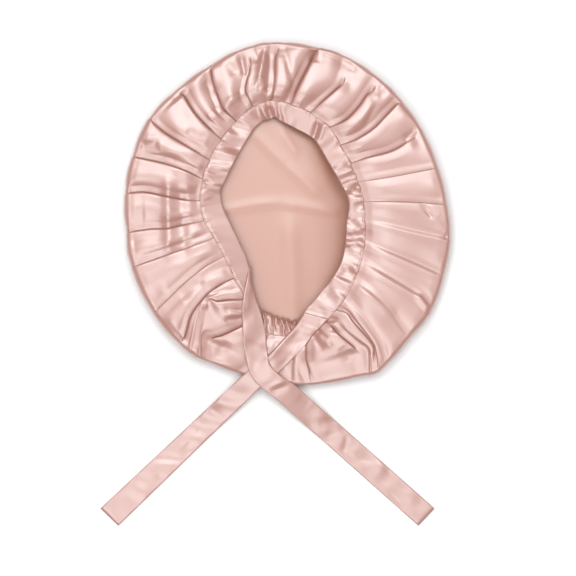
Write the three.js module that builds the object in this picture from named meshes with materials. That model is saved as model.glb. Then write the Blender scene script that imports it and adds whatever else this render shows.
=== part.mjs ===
// A satin sleep bonnet laid flat on its back, with its opening facing up.
// Units are millimetres and +Z is up. The back of the crown and the ties lie on z = 0.
import * as THREE from "three";

// Plan positions below are in millimetres, x to the right and y down, as on a sheet of paper that
// the bonnet lies on. SHEET_ORIGIN is the sheet position of the part's origin.
const SHEET_ORIGIN = { x: 275, y: 283.5 };

// Cloth
const CROWN_WALL = 1.5;
const BAND_THICKNESS = 2.0;
const TIE_THICKNESS = 1.6;
const STACK_GAP = 0.45;

// Section of the crown, from the rolled rim up to the crest of the front layer and down to the seam
const RIM_HEIGHT = 9;
const RIM_INSET_BELOW = 10;
const CREST_BASE = 10;
const CREST_PER_WIDTH = 0.21;
const CREST_SHARE = 0.58;
const SEAM_DROP = 5;
const STEP_SHARE = 0.07;
const PANEL_SHARES = [STEP_SHARE, 0.36, 0.64, 1 - STEP_SHARE];
const FRONT_STEPS = 7;
const ROLL_STEPS = 5;
const UNDER_STEPS = 3;
const PANEL_PUFF = 1.6;
const RIM_PLEAT = 0.8;
const SEAM_FLATTENS = 9;
const FOLD_FADE = { before: 0.25, after: 0.05 };
const BACK_MIDDLE = { x: 287, y: 213 };

// Band
const BAND_CUT_WIDTH = 24;
const BAND_LEAST_DROP = 3;
const BAND_MOST_DROP = 9;
const BAND_DROP_PER_SLANT = 0.35;
const BAND_RISE = 0.4;
const EDGE_GAP = 0.15;
const CASING_DROP = 4;
const CASING_GATHERS = 15;
const GATHER_STEPS = 4;
const GATHER_HEIGHT = 0.9;

// Ties
const TIE_STEP = 8;
const TIE_ACROSS = 4;
const TIE_SLOPE = 0.9;
const PROBES_ACROSS = 8;
const PROBES_ALONG = 4;
const PROBE_HEIGHT = 100;

// The folds of the crown, clockwise from the top middle. Each line runs from the seam to the rim.
// bow is how far its middle lies to the clockwise side of a straight line, rise is how far one side
// stands over the other (above zero when the clockwise panel is on top), and reach is how much of
// the way to the rim the fold lasts. The last two columns are the band's inner edge there.
const FOLD_COLUMNS = ["seamX", "seamY", "rimX", "rimY", "bow", "rise", "reach", "innerX", "innerY"];
const FOLDS = [
  [272, 102, 276, 42, 0, 3.0, 0.9, 273, 118],
  [291, 106, 319, 48, 0, 3.5, 1.0, 288, 126],
  [310, 114, 352, 60, 7, 3.0, 0.6, 303, 132],
  [329, 132, 384, 83, 4, 3.0, 0.8, 316, 143],
  [341, 147, 401, 101, 6, 3.0, 0.95, 325, 157],
  [350, 164, 424, 134, 5, 3.0, 0.9, 334, 172],
  [357, 182, 440, 170, 0, -2.0, 1.0, 343, 188],
  [362, 202, 448, 205, 0, -2.0, 1.0, 347, 202],
  [363, 222, 450, 240, 0, 2.5, 1.0, 346, 221],
  [362, 242, 443, 277, 0, 2.5, 1.0, 344, 240],
  [357, 262, 430, 311, -3, 2.5, 1.0, 341, 260],
  [351, 280, 409, 338, -4, 3.0, 1.0, 334, 273],
  [342, 296, 386, 365, -6, 3.5, 1.0, 324, 287],
  [334, 308, 373, 374, -11, 3.5, 0.95, 315, 298],
  [324, 320, 348, 380, -9, 3.0, 0.6, 305, 309],
  [305, 334, 315, 384, 2, 2.0, 0.8, 297, 323],
  [286, 336, 283, 382, 0, 1.0, 0.5, 284, 321],
  [268, 333, 246, 375, 0, 1.0, 0.5, 268, 313],
  [254, 323, 203, 361, 0, -2.5, 0.9, 258, 307],
  [244, 302, 188, 354, 15, -3.5, 0.4, 256, 299],
  [234, 277, 175, 343, 13, 3.5, 0.95, 251, 281],
  [225, 257, 152, 314, 4, -3.0, 1.0, 246, 256],
  [215, 238, 131, 268, -1, -3.0, 1.0, 238, 240],
  [205, 219, 126, 233, -2, -3.0, 1.0, 229, 220],
  [201, 200, 125, 195, 1, -3.0, 1.0, 222, 202],
  [203, 180, 133, 157, 3, -3.0, 1.0, 223, 186],
  [209, 160, 149, 119, -3, -3.0, 1.0, 230, 170],
  [221, 139, 178, 90, -2, -3.0, 0.85, 240, 152],
  [236, 120, 212, 65, -5, 3.0, 0.9, 252, 133],
  [253, 107, 243, 49, -1, 3.0, 0.85, 262, 121],
].map((row) => Object.fromEntries(FOLD_COLUMNS.map((name, i) => [name, row[i]])));

// Where the band stops and the casing runs, counted in folds from the top middle
const BAND_END_RIGHT = 14.15;
const CASING_START = 14.4;
const CASING_END = 18.7;
const BAND_END_LEFT = 19.2;

// The ties. Each row is one section across the strip, from where it leaves the band to its end:
// the end of the section on the strip's left edge and the end on its right edge, seen along it.
const TIE_COLUMNS = ["leftX", "leftY", "rightX", "rightY"];
const TIE_LEFT = [
  [251.5, 266, 248.5, 268],
  [251, 280, 246, 281],
  [254, 294, 243, 297],
  [260, 311, 242, 314],
  [265, 330, 242.5, 332],
  [266, 346, 244, 350],
  [269, 362, 248, 368],
  [279, 374, 256, 382],
  [294, 384, 275, 398],
  [434, 508, 418, 525],
].map((row) => Object.fromEntries(TIE_COLUMNS.map((name, i) => [name, row[i]])));
const TIE_RIGHT = [
  [321, 324, 302, 314],
  [314, 332, 295, 325],
  [305, 343, 286, 335],
  [291, 359, 272, 350],
  [277, 373, 257, 364],
  [261, 387, 243, 374],
  [118, 525, 100, 508],
].map((row) => Object.fromEntries(TIE_COLUMNS.map((name, i) => [name, row[i]])));

const MATERIALS = {
  crown: new THREE.MeshStandardMaterial({ color: "#deb7af", roughness: 0.42, metalness: 0 }),
  band: new THREE.MeshStandardMaterial({ color: "#e2bdb5", roughness: 0.38, metalness: 0 }),
};

function toPlan(x, y) {
  return new THREE.Vector2(x - SHEET_ORIGIN.x, SHEET_ORIGIN.y - y);
}

// A smooth closed curve through one plan point of every fold
function closedCurve(xName, yName) {
  const points = FOLDS.map((fold) => toPlan(fold[xName], fold[yName]));
  const at = (k) => points[((k % points.length) + points.length) % points.length];
  return (turn) => {
    const k = Math.floor(turn);
    const w = turn - k;
    const weights = [
      -0.5 * w + w * w - 0.5 * w ** 3,
      1 - 2.5 * w * w + 1.5 * w ** 3,
      0.5 * w + 2 * w * w - 1.5 * w ** 3,
      -0.5 * w * w + 0.5 * w ** 3,
    ];
    const sum = new THREE.Vector2();
    weights.forEach((weight, i) => sum.addScaledVector(at(k + i - 1), weight));
    return sum;
  };
}

const seamAt = closedCurve("seamX", "seamY");
const rimAt = closedCurve("rimX", "rimY");
const innerAt = closedCurve("innerX", "innerY");

// Columns of the crown: a narrow one for the step at each fold and three across each panel
const TURNS = FOLDS.flatMap((_, k) => PANEL_SHARES.map((share) => k + share));

function foldValue(turn, name) {
  const k = Math.floor(turn);
  const a = FOLDS[k % FOLDS.length][name];
  const b = FOLDS[(k + 1) % FOLDS.length][name];
  return THREE.MathUtils.lerp(a, b, turn - k);
}

// How high a panel stands at a turn, at a share of the way from the seam to the rim
function pleatHeight(turn, way) {
  const k = Math.floor(turn);
  const across = turn - k;
  const first = FOLDS[k % FOLDS.length];
  const second = FOLDS[(k + 1) % FOLDS.length];
  const lasts = ({ reach }) =>
    1 - THREE.MathUtils.smoothstep(way, reach - FOLD_FADE.before, reach + FOLD_FADE.after);
  const start = Math.max(first.rise, 0) * lasts(first);
  const end = Math.max(-second.rise, 0) * lasts(second);
  const puff = PANEL_PUFF * 4 * across * (1 - across);
  return THREE.MathUtils.lerp(start, end, across) + puff;
}

// The seam's height and the front's crest follow from how wide the front is at that turn
function crownHeights(turn) {
  const width = seamAt(turn).distanceTo(rimAt(turn));
  const crest = CREST_BASE + CREST_PER_WIDTH * width;
  return { width, crest, seam: crest - SEAM_DROP };
}

// One radial section of the crown: points { distance from the rim, height } from the seam, over
// the front and round the rim, to the edge of the flat back. The wall lies inside it.
function crownSection(turn) {
  const { width, crest, seam } = crownHeights(turn);
  const crestInset = CREST_SHARE * width;
  const points = [];
  const frontRun = width - crestInset;
  for (let i = 0; i < FRONT_STEPS; i += 1) {
    const share = i / FRONT_STEPS;
    const height = seam + (crest - seam) * Math.sin((share * Math.PI) / 2);
    points.push({ inset: width - frontRun * share, height, pleat: 1 });
  }
  for (let i = 0; i < ROLL_STEPS; i += 1) {
    const angle = (Math.PI / 2) * (1 - i / ROLL_STEPS);
    const inset = crestInset * (1 - Math.cos(angle));
    const pleat = THREE.MathUtils.lerp(RIM_PLEAT, 1, Math.sin(angle));
    points.push({ inset, height: RIM_HEIGHT + (crest - RIM_HEIGHT) * Math.sin(angle), pleat });
  }
  for (let i = 0; i <= UNDER_STEPS; i += 1) {
    const angle = (Math.PI / 2) * (i / UNDER_STEPS);
    const inset = RIM_INSET_BELOW * (1 - Math.cos(angle));
    const pleat = RIM_PLEAT * (1 - i / UNDER_STEPS);
    points.push({ inset, height: RIM_HEIGHT * (1 - Math.sin(angle)), pleat });
  }
  return points;
}

// Unit normals of a section, pointing out of the bag
function sectionNormals(points) {
  return points.map((point, i) => {
    const before = points[Math.max(i - 1, 0)];
    const after = points[Math.min(i + 1, points.length - 1)];
    const along = new THREE.Vector2(after.inset - before.inset, after.height - before.height);
    return new THREE.Vector2(along.y, -along.x).normalize();
  });
}

// A plan point on the bowed line of a turn, at a distance in from the rim
function crownPlan(turn, inset) {
  const rim = rimAt(turn);
  const seam = seamAt(turn);
  const width = seam.distanceTo(rim);
  const inward = seam.clone().sub(rim).divideScalar(width);
  const clockwise = new THREE.Vector2(-inward.y, inward.x);
  const way = THREE.MathUtils.clamp(inset / width, 0, 1);
  const bow = foldValue(turn, "bow") * 4 * way * (1 - way);
  return rim.addScaledVector(inward, inset).addScaledVector(clockwise, bow);
}

function crownSolid() {
  const outer = [];
  const inner = [];
  TURNS.forEach((turn) => {
    const section = crownSection(turn);
    const normals = sectionNormals(section);
    const width = section[0].inset;
    section.forEach((point, i) => {
      const way = 1 - point.inset / width;
      const fromSeam = THREE.MathUtils.smoothstep(width - point.inset, 0, SEAM_FLATTENS);
      const lift = pleatHeight(turn, way) * point.pleat * fromSeam;
      const push = (depth) => {
        const inset = point.inset + normals[i].x * (lift - depth);
        const plan = crownPlan(turn, i === 0 ? point.inset - EDGE_GAP : inset);
        const height = point.height + normals[i].y * (lift - depth);
        return new THREE.Vector3(plan.x, plan.y, height);
      };
      (outer[i] ??= []).push(push(0));
      (inner[i] ??= []).push(push(CROWN_WALL));
    });
  });
  const middle = toPlan(BACK_MIDDLE.x, BACK_MIDDLE.y);
  return shellFromRings([...inner.reverse(), ...outer], {
    first: new THREE.Vector3(middle.x, middle.y, CROWN_WALL),
    last: new THREE.Vector3(middle.x, middle.y, 0),
  });
}

// A closed mesh from rings of equal length. The first and last rings each close on a point.
function shellFromRings(rings, caps) {
  const count = rings[0].length;
  const positions = rings.flat().flatMap((p) => [p.x, p.y, p.z]);
  const faces = [];
  for (let i = 0; i + 1 < rings.length; i += 1) {
    for (let j = 0; j < count; j += 1) {
      const next = (j + 1) % count;
      const a = i * count + j;
      const b = i * count + next;
      const c = (i + 1) * count + next;
      const d = (i + 1) * count + j;
      faces.push(a, b, c, a, c, d);
    }
  }
  const firstCap = positions.length / 3;
  positions.push(caps.first.x, caps.first.y, caps.first.z, caps.last.x, caps.last.y, caps.last.z);
  const lastRing = (rings.length - 1) * count;
  for (let j = 0; j < count; j += 1) {
    const next = (j + 1) % count;
    faces.push(firstCap, next, j);
    faces.push(firstCap + 1, lastRing + j, lastRing + next);
  }
  return indexedGeometry(positions, faces);
}

// A closed mesh from loops along a strip. Each loop goes once round the strip's section.
function stripFromLoops(loops) {
  const count = loops[0].length;
  const positions = loops.flat().flatMap((p) => [p.x, p.y, p.z]);
  const faces = [];
  for (let i = 0; i + 1 < loops.length; i += 1) {
    for (let j = 0; j < count; j += 1) {
      const next = (j + 1) % count;
      const a = i * count + j;
      const b = i * count + next;
      const c = (i + 1) * count + next;
      const d = (i + 1) * count + j;
      faces.push(a, b, c, a, c, d);
    }
  }
  // The ends: pair up the loop's top and bottom points, which run in opposite directions
  const last = (loops.length - 1) * count;
  for (let j = 0; j + 1 < count / 2; j += 1) {
    const top = j;
    const below = count - 1 - j;
    faces.push(top, below, top + 1, top + 1, below, below - 1);
    faces.push(last + top, last + top + 1, last + below, last + top + 1, last + below - 1, last + below);
  }
  return indexedGeometry(positions, faces);
}

function indexedGeometry(positions, faces) {
  const geometry = new THREE.BufferGeometry();
  geometry.setAttribute("position", new THREE.Float32BufferAttribute(positions, 3));
  geometry.setIndex(faces);
  if (signedVolume(geometry) < 0) {
    for (let i = 0; i < faces.length; i += 3) {
      [faces[i], faces[i + 1]] = [faces[i + 1], faces[i]];
    }
    geometry.setIndex(faces);
  }
  geometry.computeVertexNormals();
  return geometry;
}

function signedVolume(geometry) {
  const at = geometry.attributes.position;
  const index = geometry.index;
  const corners = [new THREE.Vector3(), new THREE.Vector3(), new THREE.Vector3()];
  let volume = 0;
  for (let i = 0; i < index.count; i += 3) {
    corners.forEach((corner, k) => corner.fromBufferAttribute(at, index.getX(i + k)));
    volume += corners[0].dot(corners[1].clone().cross(corners[2])) / 6;
  }
  return volume;
}

// The crown's seam edge at a turn, as the straight-sided shape that its columns make
function seamEdge(turn) {
  let k = TURNS.findIndex((value) => value > turn) - 1;
  if (k < -1) {
    k = TURNS.length - 1;
  }
  const from = k < 0 ? TURNS[TURNS.length - 1] - FOLDS.length : TURNS[k];
  const to = k === TURNS.length - 1 ? TURNS[0] + FOLDS.length : TURNS[k + 1];
  const share = (turn - from) / (to - from);
  const start = seamAt(from);
  const end = seamAt(to);
  return {
    plan: start.lerp(end, share),
    height: THREE.MathUtils.lerp(crownHeights(from).seam, crownHeights(to).seam, share),
  };
}

// A strip along the opening: its outer edge follows the seam and its inner edge hangs lower
function openingStrip(turns, dropAt, rippleAt) {
  const shares = [0, 0.5, 1];
  const loops = turns.map((turn) => {
    const edge = seamEdge(turn);
    const inner = innerAt(turn);
    const width = edge.plan.distanceTo(inner);
    const top = shares.map((share) => {
      const way = EDGE_GAP / width + share * (1 - EDGE_GAP / width);
      const plan = edge.plan.clone().lerp(inner, way);
      const height = edge.height + BAND_RISE - dropAt(width) * share + rippleAt(turn, share);
      return new THREE.Vector3(plan.x, plan.y, height);
    });
    const below = top.map((p) => new THREE.Vector3(p.x, p.y, p.z - BAND_THICKNESS)).reverse();
    return [...top, ...below];
  });
  return stripFromLoops(loops);
}

function bandDrop(width) {
  const slant = Math.sqrt(Math.max(BAND_CUT_WIDTH ** 2 - width ** 2, 0));
  return Math.min(BAND_LEAST_DROP + BAND_DROP_PER_SLANT * slant, BAND_MOST_DROP);
}

function faceBandSolid() {
  const whole = FOLDS.length;
  const inside = TURNS.filter((turn) => turn < BAND_END_RIGHT || turn > BAND_END_LEFT);
  const ordered = [
    BAND_END_LEFT,
    ...inside.filter((turn) => turn > BAND_END_LEFT),
    ...inside.filter((turn) => turn < BAND_END_RIGHT).map((turn) => turn + whole),
    BAND_END_RIGHT + whole,
  ];
  return openingStrip(ordered.map((turn) => turn % whole), bandDrop, () => 0);
}

function napeCasingSolid() {
  const turns = [];
  const steps = CASING_GATHERS * GATHER_STEPS;
  for (let i = 0; i <= steps; i += 1) {
    turns.push(THREE.MathUtils.lerp(CASING_START, CASING_END, i / steps));
  }
  const ripple = (turn, share) => {
    const phase = (turn - CASING_START) / (CASING_END - CASING_START);
    return share * GATHER_HEIGHT * Math.sin(phase * CASING_GATHERS * 2 * Math.PI);
  };
  return openingStrip(turns, () => CASING_DROP, ripple);
}

// The highest point of some solids over a plan position, or zero where there is only the table
function heightOver(solids, plan) {
  const from = new THREE.Vector3(plan.x, plan.y, PROBE_HEIGHT);
  const ray = new THREE.Raycaster(from, new THREE.Vector3(0, 0, -1));
  const hits = ray.intersectObjects(solids, false);
  return hits.length ? hits[0].point.z : -STACK_GAP;
}

// Sections every few millimetres between the rows of a tie's table
function tieSections(rows) {
  const sections = [];
  rows.forEach((row, i) => {
    const left = toPlan(row.leftX, row.leftY);
    const right = toPlan(row.rightX, row.rightY);
    if (i > 0) {
      const before = sections[sections.length - 1];
      const steps = Math.max(1, Math.round(left.distanceTo(before.left) / TIE_STEP));
      for (let s = 1; s < steps; s += 1) {
        sections.push({
          left: before.left.clone().lerp(left, s / steps),
          right: before.right.clone().lerp(right, s / steps),
        });
      }
    }
    sections.push({ left, right });
  });
  return sections;
}

// A strip draped over the solids below it. It comes down no steeper than TIE_SLOPE.
function tieSolid(rows, below) {
  const sections = tieSections(rows);
  const middles = sections.map(({ left, right }) => left.clone().lerp(right, 0.5));
  const support = sections.map(({ left, right }, i) => {
    const next = sections[Math.min(i + 1, sections.length - 1)];
    let highest = -STACK_GAP;
    for (let a = 0; a <= PROBES_ACROSS; a += 1) {
      for (let s = 0; s < PROBES_ALONG; s += 1) {
        const here = left.clone().lerp(right, a / PROBES_ACROSS);
        const there = next.left.clone().lerp(next.right, a / PROBES_ACROSS);
        const height = heightOver(below, here.lerp(there, s / PROBES_ALONG));
        highest = Math.max(highest, height);
      }
    }
    return highest;
  });
  const clear = support.map((height, i) => Math.max(height, support[Math.max(i - 1, 0)]) + STACK_GAP);
  const draped = clear.map((_, i) => {
    let height = 0;
    clear.forEach((other, k) => {
      height = Math.max(height, other - TIE_SLOPE * middles[i].distanceTo(middles[k]));
    });
    return height;
  });
  const loops = sections.map(({ left, right }, i) => {
    const across = Array.from({ length: TIE_ACROSS + 1 }, (_, a) => left.clone().lerp(right, a / TIE_ACROSS));
    const top = across.map((p) => new THREE.Vector3(p.x, p.y, draped[i] + TIE_THICKNESS));
    const under = across.map((p) => new THREE.Vector3(p.x, p.y, draped[i])).reverse();
    return [...top, ...under];
  });
  return stripFromLoops(loops);
}

function named(name, geometry, material) {
  const mesh = new THREE.Mesh(geometry, material);
  mesh.name = name;
  mesh.updateMatrixWorld(true);
  return mesh;
}

const crown = named("crown", crownSolid(), MATERIALS.crown);
const faceBand = named("face_band", faceBandSolid(), MATERIALS.band);
const napeCasing = named("nape_casing", napeCasingSolid(), MATERIALS.band);
const tieRight = named("tie_right", tieSolid(TIE_RIGHT, [crown, faceBand, napeCasing]), MATERIALS.band);
const lower = [crown, faceBand, napeCasing, tieRight];
const tieLeft = named("tie_left", tieSolid(TIE_LEFT, lower), MATERIALS.band);

const bonnet = new THREE.Group();
bonnet.name = "sleep_bonnet";
bonnet.add(...lower, tieLeft);

// Put the origin at the middle of the whole bonnet in plan, on the table
const bounds = new THREE.Box3().setFromObject(bonnet);
const middle = bounds.getCenter(new THREE.Vector3());
bonnet.children.forEach((mesh) => mesh.geometry.translate(-middle.x, -middle.y, -bounds.min.z));

export default bonnet;
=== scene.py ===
import math

import bpy
import numpy as np
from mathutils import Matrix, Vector
from mathutils.bvhtree import BVHTree


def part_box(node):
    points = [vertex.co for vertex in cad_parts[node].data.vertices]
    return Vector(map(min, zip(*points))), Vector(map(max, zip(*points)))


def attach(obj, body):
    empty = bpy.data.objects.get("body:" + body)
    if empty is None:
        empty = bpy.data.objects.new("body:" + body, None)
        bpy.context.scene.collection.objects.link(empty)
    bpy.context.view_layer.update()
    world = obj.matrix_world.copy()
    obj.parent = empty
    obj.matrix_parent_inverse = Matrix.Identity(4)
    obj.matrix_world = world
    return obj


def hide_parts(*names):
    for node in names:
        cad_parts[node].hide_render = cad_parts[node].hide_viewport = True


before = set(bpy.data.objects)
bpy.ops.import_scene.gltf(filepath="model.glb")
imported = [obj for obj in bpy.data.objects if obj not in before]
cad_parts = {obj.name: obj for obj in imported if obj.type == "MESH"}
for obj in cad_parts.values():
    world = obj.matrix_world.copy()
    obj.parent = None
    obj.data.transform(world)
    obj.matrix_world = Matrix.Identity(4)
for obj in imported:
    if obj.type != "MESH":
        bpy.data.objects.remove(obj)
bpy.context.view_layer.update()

random = np.random.default_rng(7)

# Plan positions in the tables are millimetres on a sheet that the bonnet lies on, x to the right and
# y down. The end of the left tie is at TIE_CORNER on the sheet, which ties the sheet to the frame.
MM = 0.001
TIE_CORNER = (434.0, 525.0)
tie_low, tie_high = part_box("tie_left")
SHEET_X = TIE_CORNER[0] - tie_high.x / MM
SHEET_Y = TIE_CORNER[1] + tie_low.y / MM

# Section of the crown, in millimetres: close to the solid's, with a flatter front. The crest is
# higher where the front is wider, and the seam is SEAM_DROP lower.
RIM_HEIGHT = 9.5
RIM_INSET_BELOW = 9.0
CREST_BASE = 10.0
CREST_PER_WIDTH = 0.21
SEAM_DROP = 3.6
# The front rises from the seam, is highest at CREST_PLACE of the way to its shoulder, and falls to
# the shoulder. From there it rolls over the rim, on the last ROLL_SHARE of its width.
CREST_RISE = 2.4
CREST_PLACE = 0.35
SHOULDER_FALL = 3.6
ROLL_SHARE = 0.09
ROLL_START = 1 - ROLL_SHARE
ROLL_POWER = 3.1
# Slow waves of the crest round the crown. Columns: how many waves, height, where the first begins.
CREST_WAVES = [(5, 1.1, 1.0), (8, 0.7, 2.3)]
# The back lies on the table along its edge, and its middle is raised inside the bag
BACK_MIDDLE = (287.0, 213.0)
BACK_HEIGHT = 0.4
BACK_RISE = 6.5

# Relief of the front, in millimetres. A panel puffs out fully where it is at least PUFF_WIDTH wide.
PANEL_PUFF = 1.4
RIM_PUFF = 0.9
PUFF_WIDTH = 28.0
SWELL_HEIGHT = 1.0
SEAM_DIP = 0.6
DIP_UNDER_BAND = 1.8
# The strokes of the crown's table are made this much higher and wider
CROWN_RELIEF = 1.2
CROWN_SPREAD = 1.45
# Folds that are closer than this are narrower and lower
LEAST_FOLD_SPACING = 20.0
# How far the rim between two folds is drawn straight
RIM_STRAIGHTNESS = 0.3
# A fold with a lower rise than this doesn't press on the panel beside it
LEAST_RISE_TO_DIVE = 1.2
# Soft random swells of the cloth: how many across a panel, how many from the seam to the rim
SWELLS_A_PANEL = 3
SWELLS_OUTWARD = 3.4

# How finely the crown is meshed: rows from under the seam to the shoulder, over the roll and under
# the rim, columns in a panel, rings of the back, and columns of the front to one of the back
WAYS_UNDER_SEAM = (-0.07, -0.035, -0.012)
FRONT_ROWS = 60
ROLL_ROWS = 15
UNDER_ROWS = 6
PANEL_COLUMNS = 14
BACK_RINGS = 44
BACK_EVERY = 3

# The folds of the crown, clockwise from the top middle: the fold's line from the seam to the rim,
# how far one side stands over the other (above zero when the clockwise panel is on top), how much
# of the way to the rim it lasts, how fast it fades there, and how deep the cloth is tucked (zero for
# a lap that lies flat).
FOLDS = [
    ([(272, 101), (273.5, 92), (275, 80), (276, 55), (277, 42)], 2.4, 0.86, 0.16, 5),
    ([(291, 105), (300, 85), (309, 67), (314, 57), (319, 47.5)], 2.8, 1.00, 0.02, 6),
    ([(310, 113.5), (325, 100), (338, 88), (343, 77), (349, 58)], 2.4, 0.66, 0.2, 6),
    ([(329, 128), (345, 121), (358, 108), (367, 95), (379, 78)], 2.2, 0.82, 0.16, 6),
    ([(340, 145.5), (355, 140.5), (372, 130), (385, 117), (401, 100)], 2.0, 0.97, 0.06, 6),
    ([(350, 163.5), (368, 158), (386, 153.5), (400, 147), (411, 138), (422.5, 131)], 1.8, 0.85, 0.10, 6),
    ([(357, 182), (385, 178), (412, 173), (438, 168)], 0.9, 1.02, 0.05, 5),
    ([(363, 202), (390, 202), (420, 203), (447, 205)], 1.0, 1.02, 0.05, 5),
    ([(364, 221.5), (385, 225), (410, 231), (450, 240)], 1.3, 1.02, 0.05, 0),
    ([(364, 241), (382, 250), (410, 262), (443, 277)], 1.4, 1.02, 0.05, 0),
    ([(360, 262), (380, 273), (410, 291), (421, 299), (431, 311)], 1.4, 1.02, 0.05, 0),
    ([(353, 281), (370, 294), (386, 309), (399, 328), (409, 338.5)], 1.3, 1.02, 0.08, 0),
    ([(343, 299), (358, 315), (370, 331), (378, 345), (384, 367)], 1.0, 0.95, 0.08, 0),
    ([(335, 309.5), (345, 313), (352, 322), (370, 343), (373, 355), (374.5, 374)], 1.9, 0.80, 0.12, 5),
    ([(325, 321), (337, 334), (350, 345), (360, 353), (362, 376)], 2.0, 0.62, 0.12, 4),
    ([(305, 338), (305, 350), (306, 362), (314, 384)], 1.2, 0.9, 0.3, 3),
    ([(286, 336), (286, 352), (285, 368), (283, 382)], 0.6, 0.5, 0.3, 3),
    ([(268, 333), (262, 348), (254, 364), (244, 374)], 0.6, 0.5, 0.3, 3),
    ([(250, 322), (236, 329), (222, 335.5), (207, 341), (207, 361.5)], -1.8, 0.66, 0.12, 5),
    ([(246, 299.5), (232, 300), (218, 301.5), (205, 303), (195, 357)], -2.6, 0.40, 0.06, 5),
    ([(233.5, 277.5), (218, 285), (203, 297), (191, 314), (186, 330), (181, 346.5)], 2.2, 0.93, 0.05, 5),
    ([(224, 256.5), (205, 267), (188, 280), (172, 295), (153, 314)], -1.1, 1.02, 0.05, 5),
    ([(214, 238), (190, 247), (165, 256), (131, 268)], -1.3, 1.02, 0.05, 5),
    ([(204, 220.5), (185, 225), (168, 229), (150, 229.5), (126, 233)], -1.6, 1.02, 0.05, 5),
    ([(200, 201), (185, 200.5), (165, 197), (145, 193), (124.5, 194)], -1.8, 1.02, 0.05, 5),
    ([(202.5, 179.5), (185, 171.5), (165, 164.5), (145, 160), (131.5, 157)], -2.0, 1.02, 0.05, 5),
    ([(209, 160), (190, 149), (170, 137.5), (157, 127.5), (148.5, 118)], -2.2, 1.02, 0.05, 6),
    ([(221, 139.5), (205, 126), (193, 112.5), (184, 98), (178, 88)], -2.6, 0.90, 0.06, 6),
    ([(236, 121), (224, 109), (219, 98), (213.5, 82), (211, 64.5)], 2.6, 1.0, 0.08, 6),
    ([(253, 107), (246, 92), (247.5, 80), (249.5, 70), (245, 47.5)], 2.4, 0.76, 0.22, 5),
]
COUNT = len(FOLDS)

# How much each panel of the crown is crumpled between its folds, clockwise from the top middle
LIVELINESS = np.array([
    1.0, 0.6, 0.4, 0.5, 0.3, 0.2, 0.15, 0.15, 0.15, 0.15,
    0.2, 0.4, 0.5, 0.7, 0.6, 0.6, 0.6, 0.5, 0.25, 0.25,
    0.8, 0.8, 0.8, 0.9, 1.0, 0.9, 0.9, 0.9, 1.0, 1.1,
])

# A knife fold seen in section. Columns: place along the flat cloth, place when folded as millimetres
# and as a share of the tuck's depth, and height as a share of the fold's rise.
TUCK = np.array([
    (-7.0, -7.0, 0.00, 0.00),
    (-5.0, -4.9, 0.00, -0.06),
    (-3.4, -3.2, 0.00, -0.18),
    (-2.0, -1.7, 0.00, -0.36),
    (-0.9, -0.5, 0.00, -0.62),
    (-0.2, 0.3, 0.30, -0.90),
    (0.4, 0.2, 0.90, -0.85),
    (0.9, 0.2, 1.00, -0.60),
    (1.4, 0.2, 0.90, -0.28),
    (1.9, 0.2, 0.50, 0.00),
    (2.4, 0.1, 0.12, 0.22),
    (2.9, -0.3, 0.00, 0.48),
    (3.4, -0.1, 0.00, 0.74),
    (4.2, 0.9, 0.00, 0.93),
    (5.6, 3.4, 0.00, 1.03),
    (8.0, 8.0, 0.00, 1.00),
])
# A lap that lies flat, with the same columns: a low bead with no hollow beside it
FLAT_LAP = np.array([
    (-7.0, -7.0, 0.00, 0.00),
    (-5.0, -5.1, 0.00, 0.00),
    (-3.4, -3.8, 0.00, 0.00),
    (-2.0, -2.9, 0.00, 0.00),
    (-0.9, -2.2, 0.00, 0.04),
    (-0.2, -1.6, 0.00, 0.15),
    (0.4, -1.0, 0.00, 0.30),
    (0.9, -0.4, 0.00, 0.47),
    (1.4, 0.2, 0.00, 0.64),
    (1.9, 0.8, 0.00, 0.79),
    (2.4, 1.4, 0.00, 0.92),
    (2.9, 2.0, 0.00, 1.01),
    (3.4, 2.7, 0.00, 1.05),
    (4.2, 3.7, 0.00, 1.05),
    (5.6, 5.4, 0.00, 1.02),
    (8.0, 8.0, 0.00, 1.00),
])
# How far a panel sinks, as a share of the rise, where the next one lies on top of it
DIVE = 0.42

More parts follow.
